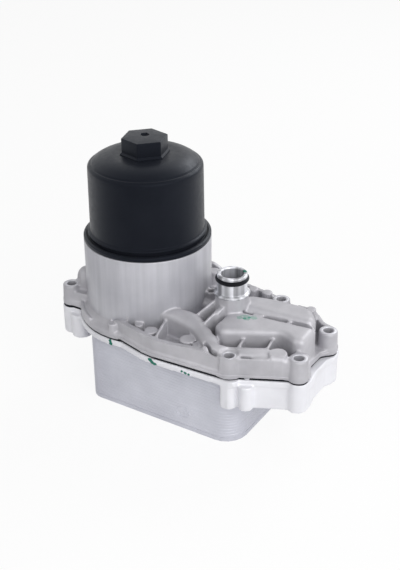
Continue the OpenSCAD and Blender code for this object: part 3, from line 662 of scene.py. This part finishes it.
def shaped_front(mesh):
    """Front of the casting as seen: the wall flush with the boss and pad in it, and thin at its top."""
    leaned_hump(mesh)
    pressed(mesh, FRONT_LINE)
    pressed(mesh, [(x, y + UPPER_BACK) for x, y in FRONT_LINE if x > UPPER_X], base_z + UPPER_H)
    lowered(mesh, WALL_BACK, [(x, base_z + h) for x, h in WALL_TOPS])


def housing():
    """The casting, its machined barrel, the faced bolt bosses and the step along its foot."""
    added = [front_wall(), round_pad(*TALL_PAD)]
    body = cast_copy(
        "housing_casting", "filter_housing", cast, shaped_front, passes=4, most_triangles=190000,
        cut_z=tube_seat_z, solids=added)
    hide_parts("filter_housing")
    barrel_ring()
    boss_faces()
    foot()


def barrel_ring():
    """Machined wall of the barrel."""
    start = base_z + BARREL_START
    mouth_low = rim_z - MOUTH_DEPTH
    ring = turned("housing_barrel", [
        (BARREL_R, start, 0.3), (BARREL_R, rim_z, 0.9), (MOUTH_R + MOUTH_CHAMFER, rim_z, 0.3),
        (MOUTH_R, rim_z - MOUTH_CHAMFER, 0.3), (MOUTH_R, mouth_low, 0.2),
        (CHAMBER_R, mouth_low - 2, 0.5), (CHAMBER_R, start, 0.3),
    ], barrel, steps=256)


def boss_faces():
    """Faced tops and bores of the bolt bosses, and the head of the pin."""
    face_z = boss_top_z + FACE_PROUD
    face_low = boss_top_z - FACE_DEPTH
    sleeve_r = BOLT_HOLE_R + SLEEVE_WALL
    sleeve_low = base_z - SLEEVE_BELOW
    bm = bmesh.new()
    for at in BOLTS:
        boss_r = SLIM_BOSS_R if at == BOLTS[1] else BOSS_R
        lathe(bm, rounded([
            (boss_r, face_low, 0), (boss_r, face_z, 0.3),
            (BOLT_HOLE_R + BORE_CHAMFER, face_z, 0.1), (BOLT_HOLE_R, face_z - BORE_CHAMFER, 0.1),
            (BOLT_HOLE_R, sleeve_low, 0), (sleeve_r, sleeve_low, 0), (sleeve_r, face_low, 0),
        ], 2), at, steps=72)
    low = base_z + PIN_ENDS[0]
    high = base_z + PIN_ENDS[1]
    lathe(bm, rounded([
        (PIN_BORE_R, low, 0), (PIN_R, low, 0.2), (PIN_R, high, 0.5), (PIN_BORE_R, high, 0),
    ], 2), PIN_AT, steps=24)
    faces = finished("boss_faces", bm, faced)


def foot():
    """Narrow step around the casting's lower edge."""
    outline = [Vector(p) for p in rounded(FOOT_OUTLINE)]
    count = len(outline)
    outward = []
    for i in range(count):
        along = (outline[(i + 1) % count] - outline[i - 1]).normalized()
        outward.append(Vector((along.y, -along.x)))
    section = [
        (-FOOT_INSIDE, FOOT_LOW), (0, FOOT_LOW), (FOOT_PROUD, FOOT_LOW + FOOT_BEVEL),
        (FOOT_PROUD, FOOT_H - FOOT_EDGE), (FOOT_PROUD - FOOT_EDGE, FOOT_H), (-FOOT_INSIDE, FOOT_H),
    ]
    rings = []
    for grow, z in section:
        rings.append([(p.x + grow * n.x, p.y + grow * n.y, base_z + z) for p, n in zip(outline, outward)])
    bm = bmesh.new()
    skin(bm, rings, loop=True)
    step = finished("housing_foot", bm, cast)


def connector():
    """Machined tube with a flared foot and a groove for its ring."""
    low = tube_low.z
    seat = tube_seat_z
    top = tube_high.z
    piece = turned("connector", [
        (TUBE_BORE_R, low, 0), (TUBE_WALL_R, low, 0), (TUBE_WALL_R, seat, 0), (15.9, seat, 0.4),
        (16.1, seat + 1.2, 0.5), (14.6, seat + 2.4, 0.6), (13.4, seat + 3, 0.6),
        (13.4, top - 7, 0.2), (TUBE_GROOVE_R, top - 7, 0.2), (TUBE_GROOVE_R, top - 2.6, 0.2),
        (TUBE_WALL_R, top - 2.6, 0.2), (TUBE_WALL_R, top - 0.7, 0.4), (12.8, top, 0.4),
        (10.6, top, 0.3), (TUBE_BORE_R, top - 0.8, 0.2),
    ], machined, steps=128, at=TUBE_AT, angle=25)
    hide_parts("connector_tube")


def gasket():
    """Gasket that follows the pressed front."""
    mesh = nodes["housing_gasket"].data.copy()
    pressed(mesh, [(x, y + GASKET_BACK) for x, y in FRONT_LINE])
    sheet = add_object("gasket_sheet", mesh, gasket_black)
    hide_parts("housing_gasket")


def shaped_cover(mesh):
    """Cover with its front edge pressed flush at the boss in it, and the leg's left side set back."""
    pressed(mesh, COVER_LINE)
    deep_z = base_z - COVER_FLANGE
    start, end = LEG_X
    for vert in mesh.vertices:
        x, y, z = vert.co / MM
        if start < x < end and y < LEG_Y and z < deep_z:
            vert.co.x = end * MM


def cover():
    """Pale casting under the housing."""
    body = cast_copy(
        "cover_casting", "cooler_cover", bright, shaped_cover, passes=3, most_triangles=150000)
    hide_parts("cooler_cover")


# Cooler: plate pitch, depth of the seam between plates, corner radii, and points on an arc
PLATE_PITCH = 3
SEAM = 0.3
CORNER_RIGHT = 21
CORNER_LEFT = 13
CORNER_STEPS = 12

# Rim of one plate: rise above its foot and inset. A plate may pass the stack's top by the slack
PLATE_PROFILE = [(0, SEAM), (0.35, SEAM), (0.6, 0.0), (1.6, 0.05), (2.75, 0.1), (2.95, SEAM)]
STACK_SLACK = 0.01

# Plain oval on the cooler's front: centre x and z, half width and half height, half thickness
MARK = (73.9, 17.7, 6.4, 5.4)
MARK_THICK = 0.28
MARK_STEPS = 48
MARK_SIDES = 8


def cooler_ring(z, inset):
    """Outline of the stack at a level, set in from its sides."""
    left = core_low.x + inset
    right = core_high.x - inset
    front = core_low.y + inset
    rear = core_high.y - inset
    corners = [
        (left, front, CORNER_LEFT - inset), (right, front, CORNER_RIGHT - inset),
        (right, rear, CORNER_RIGHT - inset), (left, rear, CORNER_LEFT - inset),
    ]
    return [(x, y, z) for x, y in rounded(corners, CORNER_STEPS)]


def cooler():
    """Stack of plates, each with a slanting rim over the one below."""
    rings = []
    z = core_low.z
    while z + PLATE_PITCH <= core_high.z + STACK_SLACK:
        for rise, inset in PLATE_PROFILE:
            rings.append(cooler_ring(z + rise, inset))
        z += PLATE_PITCH
    rings.append(cooler_ring(core_high.z, SEAM))
    bm = bmesh.new()
    skin(bm, rings, ends=True)
    stack = finished("cooler_stack", bm, rolled, angle=25)
    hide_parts("cooler_core")
    cooler_mark()


def cooler_mark():
    """Plain raised oval on the front of the stack."""
    x, z, wide, high = MARK
    rings = []
    for k in range(MARK_STEPS):
        a = 2 * pi * k / MARK_STEPS
        ring = []
        for j in range(MARK_SIDES):
            b = 2 * pi * j / MARK_SIDES
            grow = MARK_THICK * cos(b)
            y = core_low.y - MARK_THICK * sin(b)
            ring.append((x + (wide + grow) * cos(a), y, z + (high + grow) * sin(a)))
        rings.append(ring)
    bm = bmesh.new()
    skin(bm, rings, loop=True)
    mark = finished("cooler_mark", bm, rolled, angle=60)


# Cap: radii of its wall, of the wall's foot, of its skirt and of the thread's ridges, pitch and thickness
CAP_WALL_R = 51.2
CAP_FOOT_R = 51.8
SKIRT_R = 51
THREAD_R = 52.5
THREAD_PITCH = 4
CAP_THICK = 3.2

# Groove for the cap's ring: radius, both levels, and the radius of the lands beside it
RING_GROOVE_R = 49.6
RING_GROOVE_Z = rim_z - 2
RING_GROOVE_LOW = RING_GROOVE_Z - 4.2
LAND_R = MOUTH_R - 0.4

# Hexagon: size across flats, turn, corner radius, and how much of its flare that radius gains
HEX_AF = 36
HEX_TURN = radians(-13.7)
HEX_CORNER = 0.9
HEX_FLARE = 0.4

# Dimple in the hexagon's top: centre, radius, depth and rim
DIMPLE_AT = (-2.3, 3.7)
DIMPLE_R = 4.1
DIMPLE_DEPTH = 1.8
DIMPLE_EDGE = 0.5

# Collar inside the cap: radii, and its gap above the element
COLLAR_IN = 27.5
COLLAR_OUT = 30
COLLAR_GAP = 0.2


def hexagon(z, grow, corner):
    """Hexagon with rounded corners, grown outwards."""
    reach = (HEX_AF / 2 + grow) / cos(pi / 6)
    corners = []
    for k in range(6):
        a = HEX_TURN + k * pi / 3
        corners.append((reach * cos(a), reach * sin(a), corner))
    return [(x, y, z) for x, y in rounded(corners, 4)]


def cap_thread():
    """Corners of the thread's ridges, from the skirt up."""
    corners = []
    z = cap_low.z + 3
    while z + THREAD_PITCH < RING_GROOVE_LOW - 2:
        corners += [
            (SKIRT_R, z, 0.3), (THREAD_R, z + 1.1, 0.3), (THREAD_R, z + 1.7, 0.3), (SKIRT_R, z + 2.8, 0.3),
        ]
        z += THREAD_PITCH
    return corners


def cap_profile():
    """Corners of the cap's wall, outside from the skirt to the middle, then back inside."""
    top = cap_top_z
    skirt = [(SKIRT_R - 0.8, cap_low.z, 0.4), (SKIRT_R, cap_low.z + 1.2, 0.4)]
    groove = [
        (SKIRT_R, RING_GROOVE_LOW - 1, 0.3), (LAND_R, RING_GROOVE_LOW - 0.6, 0.3),
        (LAND_R, RING_GROOVE_LOW, 0.2), (RING_GROOVE_R, RING_GROOVE_LOW, 0.3),
        (RING_GROOVE_R, RING_GROOVE_Z, 0.3), (LAND_R, RING_GROOVE_Z, 0.2), (LAND_R, flange_z, 0.2),
    ]
    flange = [
        (flange_r, flange_z, 0.9), (flange_r, flange_z + 3.6, 1.2),
        (CAP_FOOT_R + 3.4, flange_z + 4.4, 0.4), (CAP_FOOT_R + 3.0, flange_z + 2.6, 0.3),
        (CAP_FOOT_R + 0.8, flange_z + 2.6, 0.3), (CAP_FOOT_R + 0.8, flange_z + 6.6, 0.2),
        (CAP_FOOT_R + 2.0, flange_z + 6.8, 0.4), (CAP_FOOT_R + 2.5, flange_z + 7.6, 0.5),
        (CAP_FOOT_R + 1.7, flange_z + 8.4, 0.5), (CAP_FOOT_R, flange_z + 9.2, 1.2),
    ]
    dome = [
        (CAP_WALL_R + 0.05, top - 31, 3), (CAP_WALL_R - 0.1, top - 25.0, 3.0), (48.9, top - 23.3, 1.2),
        (48.0, top - 23.1, 0.5), (46.8, top - 21.6, 1.5), (41, top - 17.6, 30), (31, top - 15.2, 30),
        (0, top - 15.0, 0),
    ]
    inside = [
        (0, top - 18.2, 0), (26, top - 18.2, 6), (43, top - 22.5, 4), (CAP_WALL_R - CAP_THICK, top - 28, 3),
        (CAP_WALL_R - CAP_THICK, flange_z + 12, 2), (RING_GROOVE_R - CAP_THICK, flange_z + 6, 2),
        (RING_GROOVE_R - CAP_THICK, flange_z - 5, 2), (SKIRT_R - CAP_THICK, flange_z - 9, 2),
        (SKIRT_R - CAP_THICK, cap_low.z, 0.4),
    ]
    return skirt + cap_thread() + groove + flange + dome + inside


def cap():
    """Threaded cap: its turned shell, its hexagon and its inner collar."""
    shell = turned("cap_shell", cap_profile(), black_nylon, steps=256, body="cap")
    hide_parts("filter_cap")
    cap_hexagon()
    cap_collar()


def cap_hexagon():
    """Hexagon of the cap, with a dimple in its top."""
    top = cap_top_z
    levels = [
        (top - 15.6, 1.5), (top - 14.4, 1.5), (top - 14.1, 1.3), (top - 13.1, 0.2), (top - 12.8, 0),
        (top - 0.8, 0), (top - 0.35, -0.12), (top - 0.08, -0.42), (top, -0.85),
    ]
    rings = [hexagon(z, grow, HEX_CORNER + max(0, grow) * HEX_FLARE) for z, grow in levels]
    rim = rings[-1]
    floor_z = top - DIMPLE_DEPTH
    dimple = [
        (DIMPLE_R + DIMPLE_EDGE, top), (DIMPLE_R, top - 0.4), (DIMPLE_R - 0.3, floor_z + DIMPLE_EDGE),
        (DIMPLE_R - 1, floor_z), (0.6, floor_z),
    ]
    for r, z in dimple:
        ring = []
        for x, y, _ in rim:
            a = atan2(y - DIMPLE_AT[1], x - DIMPLE_AT[0])
            ring.append((DIMPLE_AT[0] + r * cos(a), DIMPLE_AT[1] + r * sin(a), z))
        rings.append(ring)
    bm = bmesh.new()
    skin(bm, rings, ends=True)
    nut = finished("cap_hexagon", bm, black_nylon, "cap", angle=28)


def cap_collar():
    """Collar under the cap's dome that holds the element down."""
    low = box_mm("element_top_cap")[1].z + COLLAR_GAP
    high = cap_top_z - 17
    collar = turned("cap_collar", [
        (COLLAR_IN, low, 0.4), (COLLAR_OUT, low, 0.4), (COLLAR_OUT, high, 0.3), (COLLAR_IN, high, 0.3),
    ], black_nylon, steps=128, body="cap")


def finish_nodes():
    """Materials of the CAD nodes that stay."""
    core_steel = plain_metal("core_steel", linear(130, 132, 136), (0.3, 0.45))
    looks = {
        "cooler_base_plate": rolled, "cooler_top_plate": rolled, "cooler_port_seals": rubber,
        "cooler_screws": steel, "dowel_pins": steel,
        "connector_o_ring": rubber, "standpipe": dark_nylon,
        "bypass_seat": brass, "bypass_spring": steel, "bypass_poppet": steel,
        "filter_pleats": paper(), "element_core": core_steel,
        "element_bottom_cap": dark_nylon, "element_top_cap": dark_nylon,
        "element_bottom_seal": rubber, "element_top_seal": rubber, "cap_o_ring": rubber,
    }
    for name, material in looks.items():
        for held in nodes[name].material_slots:
            held.link = "OBJECT"
            held.material = material


def light_rays(tree):
    """1 for camera, glossy and transmission rays, else 0."""
    path = tree.nodes.new("ShaderNodeLightPath")
    total = None
    for name in ("Is Camera Ray", "Is Glossy Ray", "Is Transmission Ray"):
        if total is None:
            total = path.outputs[name]
            continue
        join = tree.nodes.new("ShaderNodeMath")
        join.operation = "MAXIMUM"
        tree.links.new(total, join.inputs[0])
        tree.links.new(path.outputs[name], join.inputs[1])
        total = join.outputs[0]
    return total


# Stage, in metres: light of the surroundings, and the floor's size, centre, drop, grey and own glow
AMBIENT = 0.36
FLOOR_SIZE = 6.0
FLOOR_X = 0.07
FLOOR_DROP = 0.0002
FLOOR_GREY = 0.9
FLOOR_SHOW = 0.9

# Lamps, in metres and watts: name, place, size and power. All aim at one point
LAMP_AIM = (0.05, 0, 0.12)
LAMPS = [
    ("key", (1.35, -0.65, 0.95), (1.8, 1.6), 24.5),
    ("fill", (-0.3, -1.3, 1.0), (0.9, 0.9), 3),
    ("back", (0.3, 1.3, 1.1), (1.2, 0.5), 9),
]


def surroundings():
    """World that looks white, and lights the rest less."""
    world = bpy.data.worlds.new("studio")
    bpy.context.scene.world = world
    world.use_nodes = True
    tree = world.node_tree
    tree.nodes.clear()
    output = tree.nodes.new("ShaderNodeOutputWorld")
    mix = tree.nodes.new("ShaderNodeMixShader")
    for slot_number, strength in ((1, AMBIENT), (2, 1.0)):
        background = tree.nodes.new("ShaderNodeBackground")
        background.inputs["Color"].default_value = (1, 1, 1, 1)
        background.inputs["Strength"].default_value = strength
        tree.links.new(background.outputs[0], mix.inputs[slot_number])
    tree.links.new(light_rays(tree), mix.inputs[0])
    tree.links.new(mix.outputs[0], output.inputs[0])


def floor_white():
    """Pale paint that glows for the rays that look at it."""
    paint = bpy.data.materials.new("floor_white")
    paint.use_nodes = True
    tree = paint.node_tree
    tree.nodes.clear()
    output = tree.nodes.new("ShaderNodeOutputMaterial")
    diffuse = tree.nodes.new("ShaderNodeBsdfDiffuse")
    diffuse.inputs["Color"].default_value = (FLOOR_GREY, FLOOR_GREY, FLOOR_GREY, 1)
    glow = tree.nodes.new("ShaderNodeEmission")
    glow.inputs["Strength"].default_value = 1.0
    mix = tree.nodes.new("ShaderNodeMixShader")
    share = tree.nodes.new("ShaderNodeMath")
    share.operation = "MULTIPLY"
    share.inputs[1].default_value = FLOOR_SHOW
    tree.links.new(light_rays(tree), share.inputs[0])
    tree.links.new(share.outputs[0], mix.inputs[0])
    tree.links.new(diffuse.outputs[0], mix.inputs[1])
    tree.links.new(glow.outputs[0], mix.inputs[2])
    tree.links.new(mix.outputs[0], output.inputs[0])
    return paint


def stage():
    """White surroundings and a pale floor."""
    surroundings()
    half = FLOOR_SIZE / 2
    corners = [(-half, -half, 0), (half, -half, 0), (half, half, 0), (-half, half, 0)]
    mesh = bpy.data.meshes.new("floor")
    mesh.from_pydata(corners, [], [(0, 1, 2, 3)])
    floor = bpy.data.objects.new("floor", mesh)
    bpy.context.collection.objects.link(floor)
    floor.location = (FLOOR_X, 0, cad_box[0][2] - FLOOR_DROP)
    mesh.materials.append(floor_white())


def lamp(name, place, size, power):
    """A soft white lamp."""
    data = bpy.data.lights.new(name, "AREA")
    data.shape = "RECTANGLE"
    data.size, data.size_y = size
    data.energy = power
    obj = bpy.data.objects.new(name, data)
    bpy.context.collection.objects.link(obj)
    obj.location = place
    obj.rotation_euler = (Vector(LAMP_AIM) - Vector(place)).to_track_quat("-Z", "Y").to_euler()


def lamps():
    """All lamps of the stage."""
    for name, place, size, power in LAMPS:
        lamp(name, place, size, power)


def camera():
    """Camera of the photograph."""
    data = bpy.data.cameras.new("camera")
    data.sensor_width = SENSOR_MM
    data.lens = FOCAL_PIXELS / PHOTO_HEIGHT * SENSOR_MM
    obj = bpy.data.objects.new("camera", data)
    bpy.context.collection.objects.link(obj)
    place = Vector(CAMERA_AT) * MM
    aim = Vector(CAMERA_AIM) * MM
    look = (aim - place).to_track_quat("-Z", "Y").to_matrix().to_4x4()
    obj.matrix_world = Matrix.Translation(place) @ look @ Matrix.Rotation(-CAMERA_ROLL, 4, "Z")
    bpy.context.scene.camera = obj


bpy.context.scene.view_settings.view_transform = "Standard"
camera()
housing()
connector()
gasket()
cover()
cooler()
cap()
finish_nodes()
stage()
lamps()
